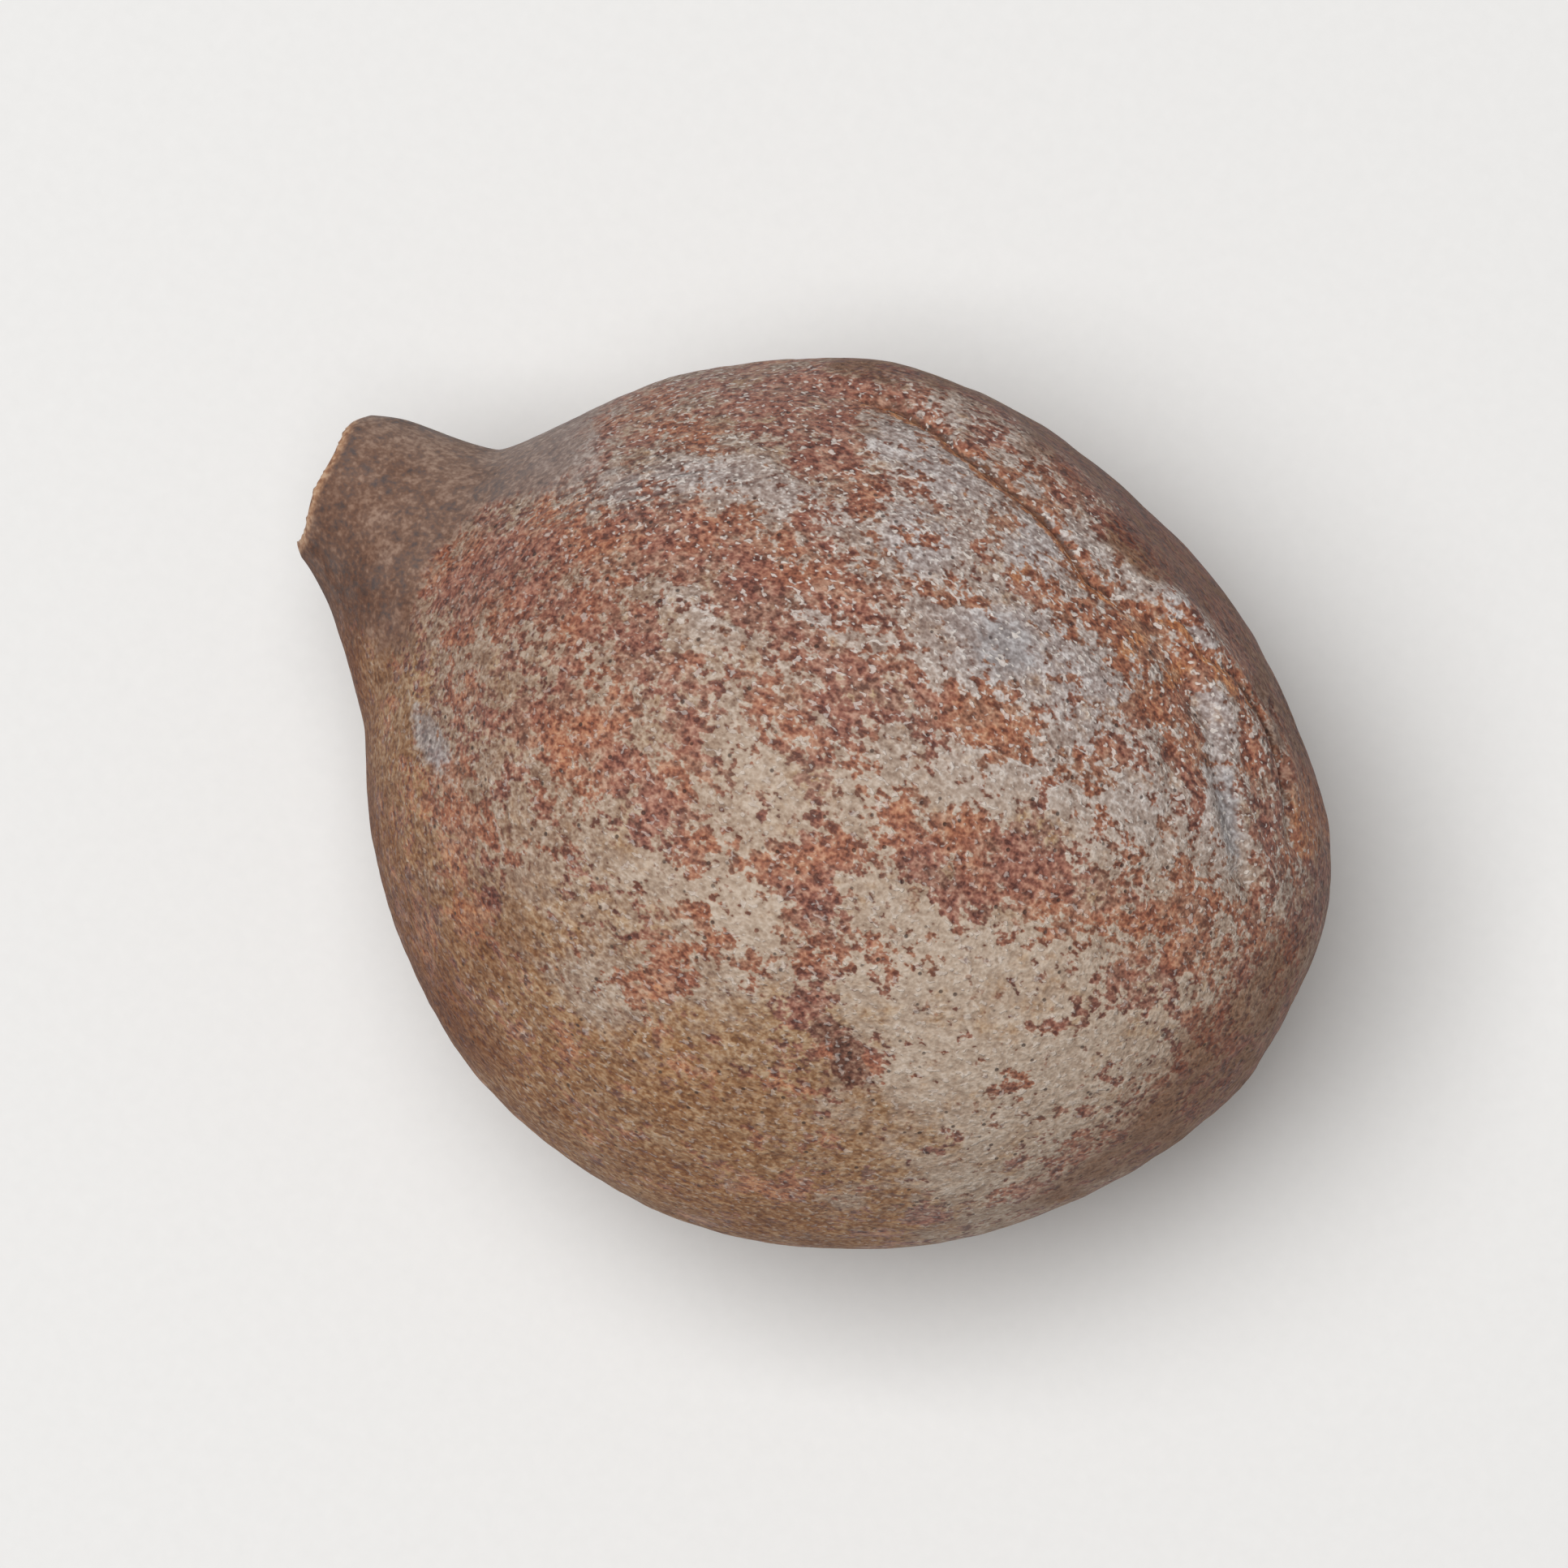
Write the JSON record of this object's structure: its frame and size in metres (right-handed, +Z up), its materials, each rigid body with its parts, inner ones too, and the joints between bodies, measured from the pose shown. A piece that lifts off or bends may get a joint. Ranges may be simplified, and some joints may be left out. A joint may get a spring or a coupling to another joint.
{
  "type": "dried belleric myrobalan fruit",
  "caption": "Whole dried belleric myrobalan: a round, faintly ridged fruit with a short stalk neck, lying on its side.",
  "frame": {"origin": "middle of the bounding box at its base, level with the flat spot that the fruit rests on", "axes": "+X along the fruit from the stalk end to the far tip, +Y to the side with the fold, +Z up"},
  "size_m": [0.033, 0.0262, 0.0248],
  "materials": {
    "felted_skin": "matt, dry, pale felt worn through to rusty brown skin"
  },
  "bodies": {
    "root": {"fruit": "felted_skin"}
  },
  "joints": []
}
